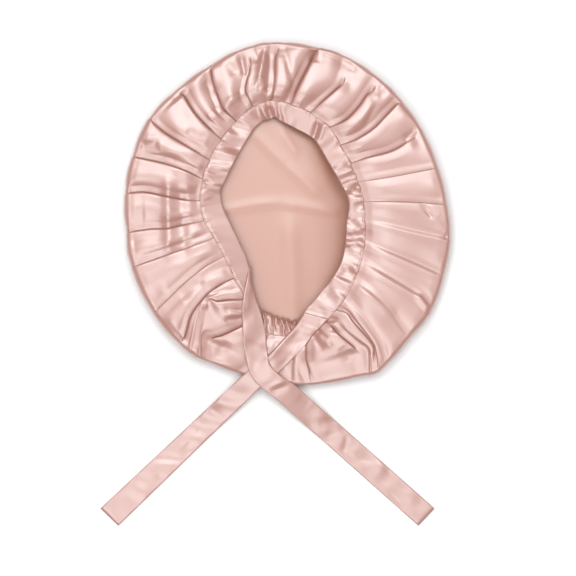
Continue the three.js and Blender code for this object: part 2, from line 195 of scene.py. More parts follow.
# Soft ridges (height above zero) and hollows (below zero) in the crown's front.
# Columns: from x, y to x, y, how far its middle bows out to its right, width, height.
CROWN_STROKES = [
    # top
    (262, 47, 257, 64, 0, 5, -1.3),
    (257, 64, 251, 87, 0, 5, -1.2),
    (264, 50, 259, 76, 0, 5, 1.1),
    (258, 76, 262, 92, -2, 5, 0.9),
    (259, 90, 272, 98, 0, 6, 0.7),
    (268, 48, 266, 80, 0, 7, -0.8),
    (256, 84, 271, 89, 2, 5, -0.8),
    (281, 56, 281, 94, 0, 9, 0.9),
    (284, 52, 293, 86, 0, 5, -0.9),
    (314, 50, 312, 63, 0, 5, -2.0),
    (240, 56, 245, 76, 0, 4, -1.3),
    (223, 109, 243, 94, -2, 5, 1.0),
    (207, 114, 213, 121, 0, 3, 0.7),
    (211, 110, 218, 118, 0, 3, 0.7),
    (215, 107, 222, 114, 0, 3, 0.6),
    (203, 82, 218, 92, 0, 7, -0.9),
    (226, 62, 236, 76, 0, 7, -0.9),
    # upper left
    (186, 131, 207, 139, 0, 7, -0.9),
    (166, 158, 204, 160, 0, 7, -0.8),
    (140, 147, 160, 145, 0, 9, -1.3),
    (139, 140, 162, 138, 0, 4, 0.7),
    (138, 151, 160, 153, 0, 4, 0.7),
    # left
    (128, 214, 146, 214, 0, 15, -1.0),
    (134, 236, 134, 256, 0, 10, -0.9),
    (142, 296, 168, 287, 0, 11, -1.0),
    (181, 299, 205, 281, 0, 9, -1.0),
    (168, 178, 169, 254, 0, 7, 1.7),
    (180, 178, 184, 258, 0, 9, -1.7),
    (195, 173, 196, 216, 0, 8, -1.1),
    # top right
    (316, 58, 354, 66, -3, 9, -1.0),
    (358, 124, 372, 101, 0, 5, 0.6),
    (364, 126, 376, 104, 0, 4, -0.5),
    (377, 84, 376, 101, 0, 5, 0.7),
    (347, 83, 352, 71, 0, 7, 0.5),
    (402, 141, 415, 131, 0, 3.5, -1.2),
    # right
    (420, 205, 431, 218, 0, 2.8, -1.0),
    (427, 204, 438, 218, 0, 6, 0.3),
    (443, 236, 447, 237, 0, 4, -1.2),
    (440, 170, 446, 200, 0, 9, -1.2),
    (416, 293, 429, 310, 0, 5, 1.2),
    # lower right
    (356, 286, 395, 314, 0, 13, 0.8),
    (341, 345, 351, 361, 0, 8, -0.8),
    (304, 349, 308, 363, 0, 7, -0.7),
    (268, 334, 264, 352, 0, 4, -1.1),
    (292, 336, 296, 352, 0, 4, -1.0),
    (312, 333, 322, 350, 0, 4, -1.0),
    (318, 331, 331, 347, 0, 4, 0.9),
    (319, 321, 338, 318, 0, 3, -1.0),
    (320, 323, 338, 324, 0, 3, 0.9),
    (320, 325, 337, 331, 0, 3, -1.0),
    (318, 326, 332, 337, 0, 3, 0.9),
    (316, 328, 326, 340, 0, 3, -0.9),
    # lower left
    (215, 359, 228, 340, 0, 7, -0.9),
    (190, 350, 206, 342, 0, 7, 0.5),
    (200, 305, 208, 304, 0, 5, 1.0),
    (224, 307, 242, 310, 0, 3.5, -0.9),
    (226, 314, 242, 314, 0, 3.5, 0.8),
    (168, 328, 204, 286, 0, 17, 1.3),
    (224, 320, 242, 317, 0, 3.5, -0.8),
    (206, 295, 238, 288, 0, 4, -0.9),
]

# Creases of the back, seen through the opening, with the same columns
BACK_STROKES = [
    (218, 212, 282, 202, -2, 10, 0.7),
    (280, 202, 342, 213, 0, 10, 0.6),
    (250, 130, 288, 168, 0, 10, 0.7),
    (285, 165, 322, 197, 0, 9, 0.8),
    (280, 129, 298, 156, 0, 8, 0.6),
    (288, 210, 294, 322, 0, 20, 1.5),
    (362, 130, 360, 330, 0, 60, -7.0),
    (292, 96, 362, 190, 0, 44, -5.0),
]

# The face band, clockwise from its lower left end. Columns: turn of its outer edge, counted in folds
# from the top middle, and x, y of its inner edge.
BAND_ROWS = np.array([
    (19.1, 252, 290),
    (19.6, 251, 281),
    (20.0, 249.8, 270),
    (20.5, 247.5, 262),
    (21.0, 245, 254),
    (21.5, 241, 246),
    (22.0, 236.5, 236),
    (22.5, 231.5, 225.5),
    (23.0, 227, 216),
    (23.5, 223, 207),
    (24.0, 221, 199),
    (24.5, 220.5, 189.5),
    (25.0, 224.5, 181.5),
    (25.5, 229, 172),
    (26.0, 233, 164),
    (26.5, 238.5, 153.5),
    (27.0, 243.5, 145),
    (27.5, 249, 136),
    (28.0, 254.5, 128),
    (28.5, 262, 121.5),
    (29.0, 267.5, 120),
    (29.5, 271, 118.5),
    (30.0, 274.5, 117.5),
    (30.5, 281, 121.5),
    (31.0, 288, 125),
    (31.5, 296.5, 129.5),
    (32.0, 304.5, 133.5),
    (32.5, 312, 138),
    (33.0, 317, 144),
    (33.5, 321.5, 151.5),
    (34.0, 326, 159.5),
    (34.5, 331, 168),
    (35.0, 336, 176),
    (35.5, 340, 183.5),
    (36.0, 344, 190.5),
    (36.5, 347, 198),
    (37.0, 348, 206),
    (37.5, 347.3, 214),
    (38.0, 346, 221),
    (38.5, 345.3, 229),
    (39.0, 345, 238.5),
    (39.5, 343.8, 248),
    (40.0, 341.5, 258.5),
    (40.5, 338.5, 266.5),
    (41.0, 334, 274),
    (41.5, 328.5, 282),
    (42.0, 322, 289.5),
    (42.5, 317, 296),
    (43.0, 311, 302.5),
    (43.5, 305.5, 309),
    (44.0, 300, 318),
    (44.2, 298, 321),
])
# How strongly the band is puckered. Columns: turn, height of its swells, and how much further its
# inner edge drops.
BAND_SWELLS = np.array([
    (19.0, 0.10, 1.0),
    (21.0, 0.10, 3.5),
    (24.0, 0.20, 3.5),
    (24.8, 1.30, 1.5),
    (28.0, 1.30, 0.5),
    (29.5, 1.00, 0.5),
    (31.0, 0.50, 0.5),
    (34.0, 0.60, 0.0),
    (36.0, 2.00, -1.2),
    (41.0, 2.00, -1.2),
    (42.5, 1.30, 0.8),
    (44.2, 0.80, 1.0),
])
BAND_SWELL_SPACING = 6.5
# Where the band looks narrower than it is cut, its inner edge slants down into the bag
BAND_CUT_WIDTH = 24.0
BAND_LEAST_DROP = 3.0
BAND_MOST_DROP = 9.0
BAND_DROP_SHARE = 0.35
BAND_DROP_PER_SLANT = 0.35
BAND_RISE = 0.4
BAND_THICKNESS = 1.3
BAND_RELIEF = 0.8
BAND_SPREAD = 1.5
BAND_STATIONS = 640
BAND_ACROSS = np.array([
    0, 0.012, 0.03, 0.06, 0.09, 0.12, 0.16, 0.22, 0.3, 0.4,
    0.5, 0.6, 0.7, 0.8, 0.87, 0.93, 0.97, 0.99, 1,
])
PUCKER_HEIGHT = 0.5
PUCKER_STATIONS = 9
# The stitches lie in a shallow groove. The profile's columns are place along a stitch, as a share of
# its length, and how thick it is there.
STITCH_SPACING = 2.6
STITCH_INSET = 1.5
STITCH_LENGTH = 1.9
STITCH_RADIUS = 0.33
STITCH_SIDES = 6
STITCH_PROFILE = [(-0.5, 0.25), (-0.3, 0.9), (0.3, 0.9), (0.5, 0.25)]
GROOVE_DEPTH = 0.3
GROOVE_WIDTH = 0.5

# Wrinkles of the band, with the columns of the crown's
BAND_STROKES = [
    (267, 107, 271, 119, 0, 3.5, -3.4),
    (262, 108, 266, 120, 0, 5, 1.2),
    (274, 105, 276, 119, 0, 3.5, 1.6),
    (277, 107, 280, 121, 0, 2.5, -0.7),
    (281, 106, 285, 122, 0, 3, 0.6),
    (318, 122, 313, 139, 0, 4, -2.6),
    (323, 125, 318, 140, 0, 4, 1.2),
    (213, 145, 240, 150, 0, 3.5, -0.9),
    (211, 152, 238, 157, 0, 3, 0.8),
    (209, 158, 234, 163, 0, 3, -0.8),
    (207, 164, 231, 169, 0, 3, 0.8),
    (205, 170, 229, 173, 0, 3.5, -0.9),
    (203, 181, 213, 186, 0, 3, -1.3),
    (212, 186, 223, 187, 0, 3, -1.3),
    (204, 189, 210, 199, 0, 6, 1.2),
    (331, 171, 347, 165, 0, 5, -0.9),
    (344, 191, 355, 188, 0, 5, -0.9),
    (348, 216, 361, 209, 0, 7, -1.1),
    (346, 236, 363, 235, 0, 5, -1.1),
    (344, 247, 361, 247, 0, 4, -1.0),
    (347, 230, 364, 229, 0, 5, 1.0),
    (345, 242, 362, 242, 0, 4, 1.0),
    (344, 252, 361, 251, 0, 4, 0.9),
    (338, 279, 352, 265, 0, 5, -1.0),
    (332, 273, 351, 280, 0, 3, -0.9),
    (320, 297, 331, 288, 0, 5, -0.9),
    (303, 309, 325, 314, 0, 3.5, -1.2),
    (309, 302, 330, 308, 0, 4, 0.8),
]

# The gathered casing, from right to left. Columns: x, y of its lower edge and x, y of its upper edge.
CASING_ROWS = np.array([
    (308, 334, 301, 321),
    (297, 336, 292, 322.5),
    (286, 336, 285, 321),
    (276, 335, 275, 317),
    (268, 333, 266.5, 312.5),
    (259, 328, 260, 309),
    (252, 320, 255, 303),
])
CASING_UNDER_SEAM = 0.5
CASING_DROP = 3.0
CASING_THICKNESS = 1.1
CASING_STATIONS = 280
CASING_ACROSS = np.array([0, 0.02, 0.06, 0.12, 0.2, 0.3, 0.4, 0.5, 0.6, 0.7, 0.8, 0.88, 0.94, 0.98, 1])
# The casing lies beside these turns of the seam
CASING_TURNS = np.linspace(13, 20, 700)
# The least and the most distance between gathers, and how strong a gather may be
GATHER_SPACING = (3.6, 9.5)
GATHER_STRENGTH = (0.6, 1.3)
GATHER_HEIGHT = 3.2
EDGE_WAVE = 1.4

# The ties, from the band to the end. Columns: x, y of the left edge and x, y of the right edge, as one
# walks along the tie.
TIE_RIGHT_ROWS = [
    (327, 318, 305, 312),
    (321, 325, 300, 319),
    (314, 332.5, 292, 328.5),
    (305, 343.5, 283, 338),
    (291, 359, 270, 352),
    (277, 373, 257, 364),
    (261, 386, 243, 374),
    (118, 525, 100, 508),
]
TIE_LEFT_ROWS = [
    (251.5, 265, 249, 267),
    (251.5, 280, 246, 281),
    (255, 295, 243, 297),
    (260.5, 312, 242, 314),
    (265, 330, 242.5, 332),
    (266.5, 346, 244, 350),
    (269, 362, 248, 368),
    (279, 374, 256, 382),
    (294, 384, 275, 398),
    (434, 508, 418, 525),
]
TIE_STEP = 2.0
TIE_CLEARANCE = 0.35
TIE_THICKNESS = 1.6
TIE_EDGE = 1.5
TIE_START_FADE = 12.0
TIE_RELIEF = 0.7
TIE_SPREAD = 1.6
TIE_SWELL = 0.55
TIE_SWELL_SPACING = 11.0
# How steeply a tie may fall along its length and across it
TIE_SLOPE = 0.2
TIE_SLOPE_ACROSS = 0.5
# Lanes along a tie where the height under it is probed, and the distance between two of them
TIE_LANES = np.linspace(0, 1, 13)
TIE_LANE_STEP = 2.0
TIE_NEAR_EDGE = np.array([0, 0.004, 0.012, 0.025, 0.045, 0.07])
TIE_MIDDLE = np.linspace(0.06, 0.94, 15)
TIE_ACROSS = np.unique(np.concatenate([TIE_NEAR_EDGE, TIE_MIDDLE, 1 - TIE_NEAR_EDGE]))

# Wrinkles of the ties, with the columns of the crown's
TIE_RIGHT_STROKES = [
    (299, 322, 263, 361, 1, 6, 2.6),
    (311, 336, 276, 371, 0, 5, -0.8),
    (301, 318, 319, 329, -2, 4.5, -1.3),
    (297, 325, 314, 334, 0, 6, 0.7),
    (221, 389, 246, 399, 0, 9, -0.9),
    (213, 398, 238, 408, 0, 7, 0.8),
    (208, 408, 224, 418, 0, 4, -0.8),
    (200, 412, 222, 424, 0, 9, 0.8),
    (196, 428, 207, 434, 0, 9, -0.8),
    (180, 440, 200, 437, 0, 7, 0.7),
    (184, 444, 192, 452, 0, 9, -1.1),
    (155, 456, 184, 459, 0, 5, -0.7),
    (150, 462, 175, 466, 0, 6, 0.7),
    (160, 467, 176, 470, 0, 5, -0.6),
    (157, 474, 165, 480, 0, 5, -0.7),
]
TIE_LEFT_STROKES = [
    (270, 392, 287, 384, 0, 4, -0.9),
    (267, 388, 285, 380, 0, 3, 0.9),
    (298, 395, 310, 404, 0, 9, -0.6),
    (318, 425, 337, 420, 0, 7, -0.8),
    (320, 430, 342, 425, 0, 9, 0.8),
    (343, 452, 347, 435, 0, 3.5, -1.1),
    (350, 456, 359, 440, 0, 7, 0.8),
    (362, 462, 369, 447, 0, 9, -0.7),
    (368, 479, 385, 466, 0, 10, 0.8),
    (388, 487, 399, 473, 0, 10, -0.6),
    (395, 499, 405, 489, 0, 10, 0.7),
]

# The satin: colours in linear light, and the gloss that lies over them
SATIN_COLOUR = (0.385, 0.170, 0.133)
# Inside the bag the same satin is painted lighter and warmer: painted bounce light, for the light that
# the pink cloth throws about in there
INSIDE_PAINTED_BOUNCE_COLOUR = (0.425, 0.198, 0.140)
THREAD_COLOUR = (0.58, 0.36, 0.31)
SATIN_ROUGHNESS = 0.36
ROUGHNESS_SPREAD = 0.04
TONE_SPREAD = 0.03
COAT_INSIDE = 0.15
SATIN_VALUES = {
    "Sheen Weight": 0.1,
    "Sheen Roughness": 0.4,
    "Specular IOR Level": 1.0,
    "Metallic": 0.0,
    "Coat Roughness": 0.36,
    "Coat IOR": 1.85,
}
CLOUD_SCALE = 28
WEAVE_SCALE = 1500
WEAVE_DEPTH = 0.0002
WEAVE_STRENGTH = 0.08

# The studio, in metres
FLOOR_REACH = 6.0
FLOOR_BELOW = 0.0004
FLOOR_COLOUR = (0.84, 0.84, 0.84)
FLOOR_ROUGHNESS = 0.9
WORLD_STRENGTH = 0.40
MIDDLE_OF_PART = (0, 0.07, 0)
# Softboxes. Columns: name, direction round from the right in degrees, height in degrees, distance and
# size in metres, and power in watts.
SOFTBOXES = [
    ("overhead", 92, 71, 3.2, 1.8, 60),
    ("fill_left", 165, 56, 2.2, 1.4, 7),
    ("fill_low", 250, 65, 2.8, 1.4, 27),
    ("fill_right", 5, 56, 2.2, 1.4, 7),
]
# The camera looks straight down on a square of the sheet
CAMERA_HEIGHT = 4.0
SENSOR_WIDTH = 36
IMAGE_SIDE = 576.0
IMAGE_MIDDLE = (287.5, 287.5)


# Helpers


def to_plan(points):
    """Points of the sheet as points of the frame, both in millimetres."""
    points = np.asarray(points, float)
    return np.stack([points[..., 0] - SHEET_X, SHEET_Y - points[..., 1]], -1)


def smooth(value, low, high):
    """An even step from 0 at the low value to 1 at the high one."""
    share = np.clip((value - low) / (high - low), 0, 1)
    return share * share * (3 - 2 * share)


def catmull(points, places, closed=False):
    """Points of a smooth curve through the given points, at places counted in points."""
    points = np.asarray(points, float)
    count = len(points)
    places = np.asarray(places, float)
    if not closed:
        places = np.clip(places, 0, count - 1 - 1e-9)
    start = np.floor(places).astype(int)
    w = (places - start)[..., None]
    if closed:
        p0, p1, p2, p3 = (points[(start + i) % count] for i in (-1, 0, 1, 2))
    else:
        padded = np.vstack([2 * points[:1] - points[1:2], points, 2 * points[-1:] - points[-2:-1]])
        p0, p1, p2, p3 = (padded[start + i] for i in (0, 1, 2, 3))
    return curve_between(p0, p1, p2, p3, w)


def curve_between(p0, p1, p2, p3, w):
    """A smooth curve through four values, at a share of the way from the second to the third."""
    return 0.5 * (
        2 * p1
        + (p2 - p0) * w
        + (2 * p0 - 5 * p1 + 4 * p2 - p3) * w**2
        + (3 * p1 - p0 - 3 * p2 + p3) * w**3
    )


def run_along(points):
    """Length from the first point to each one."""
    steps = np.linalg.norm(np.diff(points, axis=0), axis=-1)
    return np.concatenate([[0], np.cumsum(steps)])


def even_curve(points, ways):
    """Points at shares of the length of a smooth curve. A share below zero runs on before its start."""
    fine = catmull(points, np.linspace(0, len(points) - 1, 200))
    run = run_along(fine)
    found = np.stack([np.interp(ways * run[-1], run, fine[:, i]) for i in range(2)], -1)
    before = np.minimum(ways, 0)[:, None] * run[-1]
    direction = (fine[4] - fine[0]) / np.linalg.norm(fine[4] - fine[0])
    return found + before * direction


def strokes_at(strokes, points, spread=1.0):
    """The height that a table of ridges and hollows gives at plan points."""
    total = np.zeros(points.shape[:-1])
    for x0, y0, x1, y1, bow, width, height in strokes:
        start, end = to_plan((x0, y0)), to_plan((x1, y1))
        length = np.linalg.norm(end - start)
        along = (end - start) / length
        t = (points - start) @ along
        side = (points[..., 0] - start[0]) * along[1] - (points[..., 1] - start[1]) * along[0]
        width = width * spread
        share = np.clip(t / length, 0, 1)
        side = side - bow * 4 * share * (1 - share)
        beyond = np.maximum(np.maximum(-t, t - length), 0)
        taper = smooth(share, -0.12, 0.25) * (1 - smooth(share, 0.75, 1.12))
        total += height * taper * np.exp(-((side / (width / 2)) ** 2) - (beyond / (width / 2)) ** 2)
    return total


def grid_faces(rows, columns, wrap, first=0):
    """Quads between the rows of a grid of vertices. wrap joins the last column to the first."""
    r, c = np.meshgrid(np.arange(rows - 1), np.arange(columns if wrap else columns - 1), indexing="ij")
    n = (c + 1) % columns
    quads = np.stack([r * columns + c, r * columns + n, (r + 1) * columns + n, (r + 1) * columns + c], -1)
    return (quads.reshape(-1, 4) + first).tolist()


def placed(name, data):
    """A new object with its data, linked to the scene."""
    obj = bpy.data.objects.new(name, data)
    bpy.context.scene.collection.objects.link(obj)
    return obj


def cloth_object(name, node, vertices, faces, marks=None):
    """A satin piece that stands for a node of the frame. marks holds a value for every vertex."""
    mesh = bpy.data.meshes.new(name)
    mesh.from_pydata((np.asarray(vertices) * MM).tolist(), [], faces)
    mesh.polygons.foreach_set("use_smooth", [True] * len(mesh.polygons))
    for key, values in (marks or {}).items():
        layer = mesh.attributes.new(key, "FLOAT", "POINT")
        layer.data.foreach_set("value", np.asarray(values, np.float32))
    mesh.materials.append(SATIN)
    mesh.validate()
    obj = placed(name, mesh)
    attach(obj, "root")
    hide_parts(node)
    return obj


# The satin


def noise(nodes, links, place, scale, detail):
    """Random cloudiness from 0 to 1, fixed to the object."""
    texture = nodes.new("ShaderNodeTexNoise")
    texture.inputs["Scale"].default_value = scale
    texture.inputs["Detail"].default_value = detail
    links.new(place.outputs["Object"], texture.inputs["Vector"])
    return texture.outputs["Fac"]


def spread(nodes, links, source, low, high):
    """A value from 0 to 1, spread over the range from low to high."""
    span = nodes.new("ShaderNodeMapRange")
    span.inputs["To Min"].default_value = low
    span.inputs["To Max"].default_value = high
    links.new(source, span.inputs["Value"])
    return span.outputs["Result"]


def mark(nodes, name):
    """The value that a mesh carries under a name, or 0."""
    attribute = nodes.new("ShaderNodeAttribute")
    attribute.attribute_name = name
    return attribute.outputs["Fac"]


def colour_mix(nodes, links, factor, second):
    """A mix that turns to its second colour with the factor."""
    mix = nodes.new("ShaderNodeMix")
    mix.data_type = "RGBA"
    mix.inputs["B"].default_value = (*second, 1)
    links.new(factor, mix.inputs["Factor"])
    return mix


def satin():
    """Pink cloth under a broad gloss, duller inside the bag and painted lighter and warmer there as
    painted bounce light, and lighter where it is thread.
    """
    material = bpy.data.materials.new("blush_satin")
    material.use_nodes = True
    nodes, links = material.node_tree.nodes, material.node_tree.links
    shader = nodes["Principled BSDF"]
    for name, value in SATIN_VALUES.items():
        shader.inputs[name].default_value = value
    place = nodes.new("ShaderNodeTexCoord")
    cloud = noise(nodes, links, place, CLOUD_SCALE, 3)
    inner = mark(nodes, "inner")

    # Inside the bag the colour turns to a lighter, warmer one: painted bounce light
    cloth = colour_mix(nodes, links, inner, INSIDE_PAINTED_BOUNCE_COLOUR)
    cloth.inputs["A"].default_value = (*SATIN_COLOUR, 1)
    with_thread = colour_mix(nodes, links, mark(nodes, "thread"), THREAD_COLOUR)
    links.new(cloth.outputs["Result"], with_thread.inputs["A"])
    tone = nodes.new("ShaderNodeHueSaturation")
    links.new(spread(nodes, links, cloud, 1 - TONE_SPREAD, 1 + TONE_SPREAD), tone.inputs["Value"])
    links.new(with_thread.outputs["Result"], tone.inputs["Color"])
    links.new(tone.outputs["Color"], shader.inputs["Base Color"])

    links.new(spread(nodes, links, inner, 1.0, COAT_INSIDE), shader.inputs["Coat Weight"])
    least, most = SATIN_ROUGHNESS - ROUGHNESS_SPREAD, SATIN_ROUGHNESS + ROUGHNESS_SPREAD
    links.new(spread(nodes, links, cloud, least, most), shader.inputs["Roughness"])

    bump = nodes.new("ShaderNodeBump")
    bump.inputs["Strength"].default_value = WEAVE_STRENGTH
    bump.inputs["Distance"].default_value = WEAVE_DEPTH
    links.new(noise(nodes, links, place, WEAVE_SCALE, 1), bump.inputs["Height"])
    links.new(bump.outputs["Normal"], shader.inputs["Normal"])
    return material


SATIN = satin()


# The crown

# A way is 0 at the seam and 1 at the rim. A turn counts folds clockwise from the top middle.
roll_angles = np.linspace(math.pi / 2, 0, ROLL_ROWS + 1)[1:]
roll_ways = 1 - ROLL_SHARE * (1 - np.cos(roll_angles))
way_rows = np.concatenate([WAYS_UNDER_SEAM, np.linspace(0, ROLL_START, FRONT_ROWS), roll_ways])
fold_lines = np.stack([even_curve(to_plan(line), way_rows) for line, *_ in FOLDS])
seam_points = np.stack([to_plan(line[0]) for line, *_ in FOLDS])
rim_points = np.stack([to_plan(line[-1]) for line, *_ in FOLDS])


def crown_heights(turns):
    """The front's width, its shoulder's height and its seam's height at turns."""
    across = catmull(seam_points, turns, True) - catmull(rim_points, turns, True)
    width = np.linalg.norm(across, axis=-1)
    crest = CREST_BASE + CREST_PER_WIDTH * width
    for count, height, start in CREST_WAVES:
        crest = crest + height * np.sin(2 * math.pi * count * turns / COUNT + start)
    seam = crest - SEAM_DROP
    return width, seam + over_crest(1.0), seam


def over_crest(share):
    """Height over the seam at a share of the way from the seam to the shoulder."""
    rise = CREST_RISE * np.sin(np.clip(share / CREST_PLACE, -1, 1) * math.pi / 2)
    return rise - SHOULDER_FALL * smooth(share, 0.25, 1.15)


def crown_height(way, shoulder, seam):
    """Height of the front layer at a way."""
    up = seam + over_crest(np.minimum(way / ROLL_START, 1))
    inset = np.clip(1 - (1 - way) / ROLL_SHARE, 0, 1)
    down = RIM_HEIGHT + (shoulder - RIM_HEIGHT) * (1 - inset**ROLL_POWER) ** (1 / ROLL_POWER)
    return np.where(way < ROLL_START, up, down)


def fold_strength(k, way):
    """How far a fold is formed at a way: not at all under the seam and past its reach."""
    _, _, reach, fade, _ = FOLDS[k % COUNT]
    return smooth(way, -0.08, -0.01) * (1 - smooth(way, reach - fade, reach + fade / 2))


spacing = [np.linalg.norm(fold_lines[(k + 1) % COUNT] - fold_lines[k], axis=-1) for k in range(COUNT)]


def rise_at(k):
    """How far one side of a fold stands over the other, on every row."""
    least = np.minimum(spacing[k % COUNT], spacing[k % COUNT - 1])
    closeness = 0.4 + 0.6 * np.minimum(1, least / LEAST_FOLD_SPACING)
    at_seam = 0.45 + 0.55 * smooth(way_rows, 0, 0.25)
    return abs(FOLDS[k % COUNT][1]) * fold_strength(k, way_rows) * closeness * at_seam


def dive_at(k):
    """How far the lower panel sinks beside a fold, as a share of the rise, on every row."""
    rise, depth = FOLDS[k % COUNT][1], FOLDS[k % COUNT][4]
    lower = spacing[k % COUNT - 1] if rise > 0 else spacing[k % COUNT]
    if depth == 0 or abs(rise) < LEAST_RISE_TO_DIVE:
        return 0.0 * lower
    return DIVE * np.minimum(1, lower / PUFF_WIDTH)


def crown_columns():
    """For every column: its turn on each row when folded and when flat, its tuck's height on each
    row, its panel, and its share of the way across it (below zero on a tuck)."""
    folded_turns, flat_turns, tuck_heights, fold_of, across = [], [], [], [], []
    rows = len(way_rows)
    for k in range(COUNT):
        rise, depth = FOLDS[k][1], FOLDS[k][4]
        table = TUCK if depth > 0 else FLAT_LAP
        table = table if rise > 0 else (table * (-1, -1, -1, 1))[::-1]
        strength, height_here = fold_strength(k, way_rows), rise_at(k)
        tuck_depth = depth * (1 - 0.75 * np.clip(way_rows, 0, 1))
        for flat_place, folded, share, height in table:
            near = spacing[k] if flat_place > 0 else spacing[k - 1]
            squeeze = np.minimum(1, near / LEAST_FOLD_SPACING)
            flat = flat_place * squeeze
            place = flat + strength * (folded * squeeze + share * tuck_depth * squeeze - flat)
            near = np.where(place > 0, spacing[k], spacing[k - 1])
            folded_turns.append(k + place / near)
            flat_turns.append(k + flat / near)
            from_under = flat_place * math.copysign(1, rise)
            sunk = dive_at(k) * (1 - smooth(from_under, -0.2, 2.9))
            tuck_heights.append(height_here * (height - sunk))
            fold_of.append(k)
            across.append(-1)
        squeeze = np.minimum(1, spacing[k] / LEAST_FOLD_SPACING)
        after = table[-1][0] * squeeze / spacing[k]
        following = FOLDS[(k + 1) % COUNT][1]
        before = (TUCK[0][0] if following > 0 else -TUCK[-1][0]) * squeeze / spacing[k]
        for i in range(1, PANEL_COLUMNS + 1):
            w = i / (PANEL_COLUMNS + 1)
            turn = k + after + w * (1 + before - after)
            folded_turns.append(turn)
            flat_turns.append(turn)
            tuck_heights.append(np.zeros(rows))
            fold_of.append(k)
            across.append(w)
    grids = [np.stack(values, 1) for values in (folded_turns, flat_turns, tuck_heights)]
    return *grids, np.array(fold_of), np.array(across)


turn_grid, flat_grid, tuck_grid, column_fold, column_across = crown_columns()
columns = turn_grid.shape[1]
way_grid = np.repeat(way_rows[:, None], columns, 1)


def on_fold_lines(turns):
    """Plan points of the front at the turns of a grid whose rows are way_rows."""
    start = np.floor(turns).astype(int)
    row = np.arange(turns.shape[0])[:, None]
    near = [fold_lines[(start + i) % COUNT, row] for i in (-1, 0, 1, 2)]
    w = (turns - start)[..., None]
    straight = RIM_STRAIGHTNESS * smooth(way_rows, 0.5, 1)[:, None, None]
    return curve_between(*near, w) * (1 - straight) + (near[1] * (1 - w) + near[2] * w) * straight


def rim_at(turns):
    """Plan points of the rim at turns."""
    start = np.floor(turns).astype(int)
    w = (turns - start)[..., None]
    chord = rim_points[start % COUNT] * (1 - w) + rim_points[(start + 1) % COUNT] * w
    return catmull(rim_points, turns, True) * (1 - RIM_STRAIGHTNESS) + chord * RIM_STRAIGHTNESS


front_plan = on_fold_lines(turn_grid)
width_grid, shoulder_grid, seam_grid = crown_heights(turn_grid)
front_height = crown_height(way_grid, shoulder_grid, seam_grid)


def between_panels(values, turns):
    """A value given at the middle of every panel, on every row, at the turns of a grid."""
    place = turns - 0.5
    start = np.floor(place).astype(int)
    w = place - start
    row = np.arange(turns.shape[0])[:, None]
    return values[start % COUNT, row] * (1 - w) + values[(start + 1) % COUNT, row] * w


def panel_lift():
    """How a panel stands over its neighbours: high at an edge on top, low at an edge that is tucked."""
    lift = np.zeros_like(front_height)
    for k in range(COUNT):
        first, second = FOLDS[k][1], FOLDS[(k + 1) % COUNT][1]
        inside = np.nonzero((column_fold == k) & (column_across >= 0))[0]
        w = column_across[inside][None, :]
        start, end = rise_at(k)[:, None], rise_at(k + 1)[:, None]
        width = spacing[k][:, None] / PUFF_WIDTH
        puff = PANEL_PUFF * smooth(way_rows, 0, 0.25)[:, None] * np.minimum(1, width) ** 1.5
        puff = puff * min(1, LIVELINESS[k])
        puff = puff + RIM_PUFF * smooth(way_rows, 0.6, 1.0)[:, None] * np.minimum(1, width)
        if first > 0:
            from_start = start * (1 - w) ** 1.6
        else:
            from_start = -dive_at(k)[:, None] * start * (1 - w) ** 3
        if second < 0:
            from_end = end * w**1.6
        else:
            from_end = -dive_at(k + 1)[:, None] * end * w**3
        lift[:, inside] = from_start + from_end + puff * 4 * w * (1 - w)
    return lift


swell_heights = random.uniform(-1, 1, (COUNT * SWELLS_A_PANEL, 7))


def catmull_rows(rows, places):
    """A smooth value from each row of a table, at places counted in its columns."""
    start = np.clip(np.floor(places).astype(int), 0, rows.shape[-1] - 4)
    w = places - start
    values = [np.take_along_axis(rows, (start + i)[..., None], -1)[..., 0] for i in (0, 1, 2, 3)]
    return curve_between(*values, w)


def undulation(turns, ways):
    """Soft random swells of the cloth, longer toward the rim than they are wide."""
    across, along = turns * SWELLS_A_PANEL, np.clip(ways, 0, 1) * SWELLS_OUTWARD
    whole = np.floor(across)
    start = whole.astype(int) % len(swell_heights)
    rows = [swell_heights[(start + i) % len(swell_heights)] for i in (-1, 0, 1, 2)]
    return curve_between(*(catmull_rows(row, along) for row in rows), across - whole)


# The front's relief stands square to its smooth section
out_step = np.gradient(front_plan, axis=0)
out_step /= np.linalg.norm(out_step, axis=-1, keepdims=True)
slope_out = np.gradient(way_grid * width_grid, axis=0)
slope_up = np.gradient(front_height, axis=0)
size = np.hypot(slope_out, slope_up)
normal_out, normal_up = -slope_up / size, slope_out / size
detail = CROWN_RELIEF * strokes_at(CROWN_STROKES, front_plan, CROWN_SPREAD)
crumple = between_panels(np.repeat(LIVELINESS[:, None], len(way_rows), 1), turn_grid)
crumple *= np.minimum(1, between_panels(np.array(spacing), turn_grid) / PUFF_WIDTH) ** 1.5
detail += SWELL_HEIGHT * crumple * undulation(turn_grid % COUNT, way_grid) * smooth(way_grid, 0, 0.12)
detail *= 1 - smooth(way_grid, 0.9, 1.0)
lift = (tuck_grid + panel_lift()) * (1 - 0.6 * smooth(way_grid, 0.85, 1.0)) + detail
beside_casing = smooth(turn_grid, 14.0, 14.8) * (1 - smooth(turn_grid, 17.8, 18.6))
lift -= SEAM_DIP * (1 - smooth(way_grid, 0.0, 0.10)) * (1 - 1.8 * beside_casing)
lift -= DIP_UNDER_BAND * (1 - smooth(way_grid, -0.04, 0.0))
front_xy = front_plan + out_step * (lift * normal_out)[..., None]
front_z = front_height + lift * normal_up
front = np.concatenate([front_xy, front_z[..., None]], -1)

